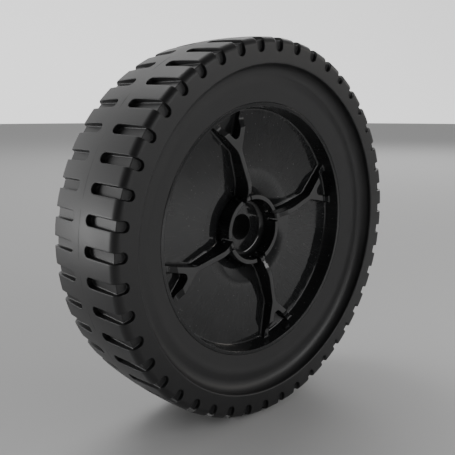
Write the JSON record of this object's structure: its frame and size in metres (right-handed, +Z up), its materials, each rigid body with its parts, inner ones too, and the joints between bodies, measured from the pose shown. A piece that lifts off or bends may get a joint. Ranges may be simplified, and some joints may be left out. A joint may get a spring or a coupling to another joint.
{
  "type": "drive wheel",
  "caption": "Garden machine drive wheel: grooved black rubber tyre on a glossy plastic wheel body with forked ribs, a recessed hub and an internal gear on its hidden face.",
  "frame": {"origin": "on the axle bore's axis, in the middle plane of the tyre", "axes": "+Y along the axle bore from the outer face to the machine, +Z up, +X to the right seen from the outer face"},
  "size_m": [0.203, 0.054, 0.203],
  "materials": {
    "tyre_rubber": "satin",
    "body_plastic": "glossy"
  },
  "bodies": {
    "root": {"tyre": "tyre_rubber", "wheel_body": "body_plastic"}
  },
  "joints": []
}
